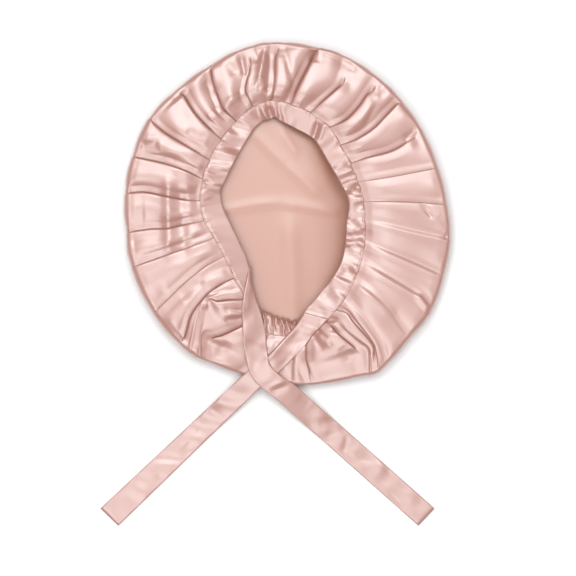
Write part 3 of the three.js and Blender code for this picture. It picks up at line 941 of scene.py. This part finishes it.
# Under the rim, in to the flat back
middle = to_plan(BACK_MIDDLE)
under = []
for i in range(1, UNDER_ROWS + 1):
    flatness = i / UNDER_ROWS
    angle = math.pi / 2 * flatness
    turns = turn_grid[-1] * (1 - flatness) + flat_grid[-1] * flatness
    rim_xy = rim_at(turns)
    inward = middle - rim_xy
    inward /= np.linalg.norm(inward, axis=-1, keepdims=True)
    inset = RIM_INSET_BELOW * (1 - math.cos(angle)) - lift[-1] * math.cos(angle)
    height = np.full(columns, BACK_HEIGHT + (RIM_HEIGHT - BACK_HEIGHT) * (1 - math.sin(angle)))
    under.append(np.concatenate([rim_xy + inward * inset[:, None], height[:, None]], -1))
shell = np.concatenate([front, np.stack(under)])

# The back, in rings from its edge to its middle
ring_start = shell[-1][::BACK_EVERY, :2]
shares = np.linspace(0, 1, BACK_RINGS + 1)[1:-1]
rings_xy = ring_start[None] + shares[:, None, None] * (middle - ring_start[None])
creases = strokes_at(BACK_STROKES, rings_xy) * smooth(shares, 0, 0.12)[:, None]
rings_z = BACK_HEIGHT + np.maximum(creases + BACK_RISE * smooth(shares, 0.12, 0.4)[:, None], 0)
rings = np.concatenate([rings_xy, rings_z[..., None]], -1)
ring_columns = rings.shape[1]


def crown_faces():
    """Faces of the front, the roll and the back. The back has a column to BACK_EVERY of the front's."""
    faces = grid_faces(shell.shape[0], columns, True)
    first_ring = shell.shape[0] * columns
    last_shell = (shell.shape[0] - 1) * columns
    for j in range(ring_columns):
        a, b = first_ring + j, first_ring + (j + 1) % ring_columns
        top = [last_shell + (j * BACK_EVERY + i) % columns for i in range(BACK_EVERY + 1)]
        faces += [[top[0], top[1], a], [top[1], top[2], b, a], [top[2], top[3], b]]
    faces += grid_faces(rings.shape[0], ring_columns, True, first_ring)
    last_ring = first_ring + (rings.shape[0] - 1) * ring_columns
    centre = last_ring + ring_columns
    faces += [[last_ring + j, last_ring + (j + 1) % ring_columns, centre] for j in range(ring_columns)]
    return faces


centre_height = BACK_HEIGHT + BACK_RISE + float(strokes_at(BACK_STROKES, middle))
centre = [[*middle, centre_height]]
crown_vertices = np.concatenate([shell.reshape(-1, 3), rings.reshape(-1, 3), centre])
# Marks the back's inside, which is duller and painted lighter and warmer as painted bounce light
inner_on_rings = np.repeat(smooth(shares, 0, 0.1), ring_columns)
inner = np.concatenate([np.zeros(shell.shape[0] * columns), inner_on_rings, [1]])
crown = cloth_object(
    "crown_cloth", "crown", crown_vertices, crown_faces(), {"inner": inner}
)


# Strips: the band, the casing and the ties


def section_strip(top, below):
    """A closed strip from the points of its top and its underside, station by station."""
    loops = np.concatenate([top, below[:, ::-1]], axis=1)
    stations, around = loops.shape[:2]
    faces = grid_faces(stations, around, True)
    faces.append(list(range(around))[::-1])
    faces.append([(stations - 1) * around + i for i in range(around)])
    return loops.reshape(-1, 3), faces


def edge_round(distance, reach):
    """Share of the full thickness at a distance from a folded edge."""
    e = 1 - np.clip(distance / reach, 0, 1)
    return np.sqrt(np.maximum(1 - e * e, 0))


# The band
fine_turns = np.linspace(BAND_ROWS[0, 0], BAND_ROWS[-1, 0], 3000)
fine_seam = catmull(seam_points, fine_turns, True)
seam_run = run_along(fine_seam)
band_turns = np.interp(np.linspace(0, seam_run[-1], BAND_STATIONS), seam_run, fine_turns)
band_outer = catmull(seam_points, band_turns, True)
band_run = run_along(band_outer)
band_places = np.interp(band_turns, BAND_ROWS[:, 0], np.arange(len(BAND_ROWS)))
band_inner = to_plan(catmull(BAND_ROWS[:, 1:], band_places))
band_width = np.linalg.norm(band_outer - band_inner, axis=-1)
_, _, band_seam = crown_heights(band_turns)
band_slant = np.sqrt(np.maximum(BAND_CUT_WIDTH**2 - band_width**2, 0))
band_drop = np.minimum(BAND_LEAST_DROP + BAND_DROP_PER_SLANT * band_slant, BAND_MOST_DROP)
band_drop *= BAND_DROP_SHARE
pucker_step = random.normal(0, 1, BAND_STATIONS)
kernel = np.exp(-np.linspace(-2, 2, PUCKER_STATIONS) ** 2)
band_pucker = np.convolve(pucker_step, kernel / kernel.sum(), "same") * PUCKER_HEIGHT


def band_top(station, across):
    """Points of the band's top face without its rounded edges, at stations and shares across."""
    a = across[..., None]
    plan = band_outer[station] * (1 - a) + band_inner[station] * a
    height = band_seam[station] + BAND_RISE - band_drop[station] * across
    swell = np.interp(band_turns[station], BAND_SWELLS[:, 0], BAND_SWELLS[:, 1])
    around = band_run[station] / BAND_SWELL_SPACING + 0.9 * across
    height += swell * undulation(around / SWELLS_A_PANEL % COUNT, 0.25 + 0.4 * across)
    height -= np.interp(band_turns[station], BAND_SWELLS[:, 0], BAND_SWELLS[:, 2]) * across
    wrinkles = BAND_RELIEF * strokes_at(BAND_STROKES, plan, BAND_SPREAD)
    return plan, height + wrinkles + band_pucker[station] * np.exp(-across * 5)


station_grid, across_grid = np.meshgrid(np.arange(BAND_STATIONS), BAND_ACROSS, indexing="ij")
plan, height = band_top(station_grid, across_grid)
edge_distance = np.minimum(across_grid, 1 - across_grid) * band_width[:, None]
from_stitches = across_grid * band_width[:, None] - STITCH_INSET
groove = GROOVE_DEPTH * np.exp(-((from_stitches / GROOVE_WIDTH) ** 2))
thick = edge_round(edge_distance, 1.0)
middle_height = height - BAND_THICKNESS / 2
band_upper = np.concatenate([plan, (middle_height + BAND_THICKNESS / 2 * thick - groove)[..., None]], -1)
band_lower = np.concatenate([plan, (middle_height - BAND_THICKNESS / 2 * thick)[..., None]], -1)
band_vertices, band_faces = section_strip(band_upper, band_lower)


def on_stitch_line(run):
    """A point just under the band's top, STITCH_INSET in from the seam, at a length along it."""
    stations = np.arange(BAND_STATIONS)
    place = np.interp(run, band_run, stations)
    near = int(round(place))
    plan, height = band_top(np.array(near), np.array(STITCH_INSET / band_width[near]))
    on_seam = np.array([np.interp(place, stations, band_outer[:, j]) for j in range(2)])
    return np.array([*(on_seam + plan - band_outer[near]), float(height) - 0.1])


def stitches():
    """Short threads along the seam, each a spindle with flat sides."""
    vertices, faces = [], []
    ring = range(STITCH_SIDES)
    last_ring = (len(STITCH_PROFILE) - 1) * STITCH_SIDES
    for i in range(int(band_run[-1] / STITCH_SPACING)):
        at = (i + 0.5) * STITCH_SPACING
        start, end = (on_stitch_line(at + shift * STITCH_LENGTH) for shift in (-0.5, 0.5))
        along = (end - start) / np.linalg.norm(end - start)
        side = np.cross(along, (0, 0, 1))
        up = np.cross(side, along)
        first = len(vertices)
        for share, thickness in STITCH_PROFILE:
            centre = (start + end) / 2 + along * STITCH_LENGTH * share
            for j in ring:
                angle = 2 * math.pi * j / STITCH_SIDES
                outward = side * math.cos(angle) + up * math.sin(angle)
                vertices.append(centre + STITCH_RADIUS * thickness * outward)
        faces += grid_faces(len(STITCH_PROFILE), STITCH_SIDES, True, first)
        faces += [[first + j for j in ring][::-1], [first + last_ring + j for j in ring]]
    return np.array(vertices), faces


thread_vertices, thread_faces = stitches()
thread = np.concatenate([np.zeros(len(band_vertices)), np.ones(len(thread_vertices))])
band = cloth_object(
    "face_band_cloth",
    "face_band",
    np.concatenate([band_vertices, thread_vertices]),
    band_faces + [[v + len(band_vertices) for v in face] for face in thread_faces],
    {"thread": thread},
)


# The casing


def gathers(run):
    """Height of the casing's gathers, as a share of the full height, at lengths along it."""
    marks = [0.0]
    while marks[-1] < run[-1]:
        marks.append(marks[-1] + random.uniform(*GATHER_SPACING))
    numbers = np.arange(len(marks))
    phase = np.interp(run, marks, numbers)
    strength = np.interp(phase, numbers, random.uniform(*GATHER_STRENGTH, len(marks)))
    phase, strength, a = phase[:, None], strength[:, None], CASING_ACROSS[None, :]
    wander = undulation(phase / 2 + 0 * a, a) * (0.3 + 0.5 * a)
    gather = np.abs(np.sin((phase + 0.5 * wander) * math.pi)) ** 0.7
    return gather * (strength + 0.5 * undulation(phase / 3 + 7 + 0 * a, 1 - a))


def casing_strip():
    """The casing, whose gathers grow from its sewn lower edge to its free upper edge."""
    places = np.linspace(0, len(CASING_ROWS) - 1, CASING_STATIONS)
    lower_edge = to_plan(catmull(CASING_ROWS[:, :2], places))
    upper_edge = to_plan(catmull(CASING_ROWS[:, 2:], places))
    seam_line = catmull(seam_points, CASING_TURNS, True)
    nearest = [np.linalg.norm(seam_line - point, axis=-1).argmin() for point in lower_edge]
    _, _, seam = crown_heights(CASING_TURNS[nearest])
    width = np.linalg.norm(upper_edge - lower_edge, axis=-1, keepdims=True)
    outward = (upper_edge - lower_edge) / width
    a = CASING_ACROSS[None, :]
    gather = gathers(run_along(lower_edge))
    plan = lower_edge[:, None] * (1 - a[..., None]) + upper_edge[:, None] * a[..., None]
    plan += outward[:, None] * (EDGE_WAVE * (gather - 0.6) * a**3)[..., None]
    height = seam[:, None] - CASING_UNDER_SEAM - CASING_DROP * a
    height += GATHER_HEIGHT * gather * (0.08 + 0.92 * a**0.6)
    thick = edge_round(np.minimum(a, 1 - a) * width, 0.8) * CASING_THICKNESS / 2
    top = np.concatenate([plan, (height + thick)[..., None]], -1)
    below = np.concatenate([plan, (height - thick)[..., None]], -1)
    return section_strip(top, below)


casing_vertices, casing_faces = casing_strip()
casing = cloth_object(
    "nape_casing_cloth", "nape_casing", casing_vertices, casing_faces
)


# The ties


def surface_tree(vertices, faces):
    """A surface that rays can be cast at."""
    return BVHTree.FromPolygons([Vector(v) for v in vertices], faces)


def tie_stations(rows):
    """Plan points of a tie's left and right edges at even steps, and its length."""
    full = [rows[0]]
    for before, after in zip(rows, rows[1:]):
        parts = max(1, int(math.dist(before[:2], after[:2]) / 20))
        for i in range(1, parts + 1):
            full.append([b + (a - b) * i / parts for b, a in zip(before, after)])
    full = np.array(full)
    fine_places = np.linspace(0, len(full) - 1, 2000)
    middle_line = catmull((full[:, :2] + full[:, 2:]) / 2, fine_places)
    run = run_along(middle_line)
    places = np.interp(np.linspace(0, run[-1], int(run[-1] / TIE_STEP)), run, fine_places)
    return to_plan(catmull(full[:, :2], places)), to_plan(catmull(full[:, 2:], places)), run[-1]


def cone_envelope(height, spacing, slope, axis):
    """Raise a field of heights until it is nowhere steeper than the slope along an axis."""
    height = np.moveaxis(height.copy(), axis, 0)
    for i in range(1, len(height)):
        height[i] = np.maximum(height[i], height[i - 1] - slope * spacing)
    for i in range(len(height) - 2, -1, -1):
        height[i] = np.maximum(height[i], height[i + 1] - slope * spacing)
    return np.moveaxis(height, 0, axis)


def blur(field, rounds):
    """A field of heights, evened out along both axes."""
    for _ in range(rounds):
        for axis in (0, 1):
            moved = np.moveaxis(field, axis, 0)
            padded = np.concatenate([moved[:1], moved, moved[-1:]])
            moved = 0.25 * padded[:-2] + 0.5 * padded[1:-1] + 0.25 * padded[2:]
            field = np.moveaxis(moved, 0, axis)
    return field


def laid_height(left, right, trees):
    """Height of a tie's underside, station by station and lane by lane, as it lies on what is below."""
    lanes = TIE_LANES[None, :, None]
    probes = left[:, None] * (1 - lanes) + right[:, None] * lanes
    under = np.zeros(probes.shape[:2])
    for place in np.ndindex(*under.shape):
        for tree in trees:
            hit = tree.ray_cast(Vector((*probes[place], 100)), Vector((0, 0, -1)))[0]
            if hit is not None:
                under[place] = max(under[place], hit.z)
    need = under + TIE_CLEARANCE
    laid = cone_envelope(need, TIE_STEP, TIE_SLOPE, 0)
    laid = cone_envelope(laid, TIE_LANE_STEP, TIE_SLOPE_ACROSS, 1)
    for _ in range(10):
        laid = np.maximum(blur(laid, 2), need)
    return blur(laid, 1) + 0.1


def tie(name, node, rows, strokes, trees):
    """A tie that lies on the surfaces of the trees, as an object and a surface."""
    left, right, length = tie_stations(rows)
    w = TIE_ACROSS[None, :, None]
    plan = left[:, None] * (1 - w) + right[:, None] * w
    under_z = np.stack([np.interp(TIE_ACROSS, TIE_LANES, row) for row in laid_height(left, right, trees)])
    stations = run_along((left + right) / 2)[:, None]
    width = np.linalg.norm(left - right, axis=-1)[:, None]
    to_side = np.minimum(TIE_ACROSS, 1 - TIE_ACROSS)[None, :] * width
    reach = np.minimum(TIE_EDGE, 0.45 * width)
    from_start = 0.12 + 0.88 * smooth(stations, 0, TIE_START_FADE)
    thick = edge_round(to_side, reach) * edge_round(stations[-1] - stations, TIE_EDGE)
    thick = thick * from_start * TIE_THICKNESS / 2
    swell_turns = (stations + length) / TIE_SWELL_SPACING / SWELLS_A_PANEL % COUNT + 0 * TIE_ACROSS
    swell = undulation(swell_turns, 0.2 + 0.5 * TIE_ACROSS + 0 * stations)
    puff = TIE_RELIEF * strokes_at(strokes, plan, TIE_SPREAD) + TIE_SWELL * swell * from_start
    puff = puff * edge_round(to_side, 3 * reach)
    centre = under_z + from_start * TIE_THICKNESS / 2
    upper = np.concatenate([plan, (centre + thick + np.maximum(puff, -0.8 * thick))[..., None]], -1)
    lower = np.concatenate([plan, (centre - thick)[..., None]], -1)
    vertices, faces = section_strip(upper, lower)
    return cloth_object(name, node, vertices, faces), surface_tree(vertices, faces)


crown_tree = surface_tree(crown_vertices, crown_faces())
band_tree = surface_tree(band_vertices, band_faces)
casing_tree = surface_tree(casing_vertices, casing_faces)
under_ties = [crown_tree, band_tree, casing_tree]
tie_right, right_tree = tie(
    "tie_right_cloth", "tie_right", TIE_RIGHT_ROWS, TIE_RIGHT_STROKES, under_ties
)
tie_left, _ = tie(
    "tie_left_cloth", "tie_left", TIE_LEFT_ROWS, TIE_LEFT_STROKES, under_ties + [right_tree]
)


# The studio


def plain_material(name, colour, roughness):
    """A material of one colour."""
    material = bpy.data.materials.new(name)
    material.use_nodes = True
    shader = material.node_tree.nodes["Principled BSDF"]
    shader.inputs["Base Color"].default_value = (*colour, 1)
    shader.inputs["Roughness"].default_value = roughness
    return material


floor_mesh = bpy.data.meshes.new("floor")
corners = [(x * FLOOR_REACH, y * FLOOR_REACH, 0) for x, y in ((-1, -1), (1, -1), (1, 1), (-1, 1))]
floor_mesh.from_pydata(corners, [], [(0, 1, 2, 3)])
floor_mesh.materials.append(plain_material("paper", FLOOR_COLOUR, FLOOR_ROUGHNESS))
floor = placed("floor", floor_mesh)
floor.location.z = -FLOOR_BELOW


def softbox(name, round_from_right, up, distance, size, power):
    """A square light at a distance from the middle of the part, turned to it."""
    azimuth, elevation = math.radians(round_from_right), math.radians(up)
    level = math.cos(elevation)
    toward = Vector((math.cos(azimuth) * level, math.sin(azimuth) * level, math.sin(elevation)))
    data = bpy.data.lights.new(name, "AREA")
    data.shape = "SQUARE"
    data.size = size
    data.energy = power
    lamp = placed(name, data)
    lamp.location = Vector(MIDDLE_OF_PART) + toward * distance
    lamp.rotation_euler = (-toward).to_track_quat("-Z", "Y").to_euler()


for row in SOFTBOXES:
    softbox(*row)
world = bpy.data.worlds.new("studio")
bpy.context.scene.world = world
world.use_nodes = True
background = world.node_tree.nodes["Background"]
background.inputs["Color"].default_value = (1, 1, 1, 1)
background.inputs["Strength"].default_value = WORLD_STRENGTH

camera_data = bpy.data.cameras.new("camera")
camera_data.sensor_width = SENSOR_WIDTH
camera_data.lens = SENSOR_WIDTH * CAMERA_HEIGHT / (IMAGE_SIDE * MM)
camera_data.clip_end = 100
camera = placed("camera", camera_data)
camera.location = (*(to_plan(IMAGE_MIDDLE) * MM), CAMERA_HEIGHT)
bpy.context.scene.camera = camera
bpy.context.scene.view_settings.view_transform = "Standard"
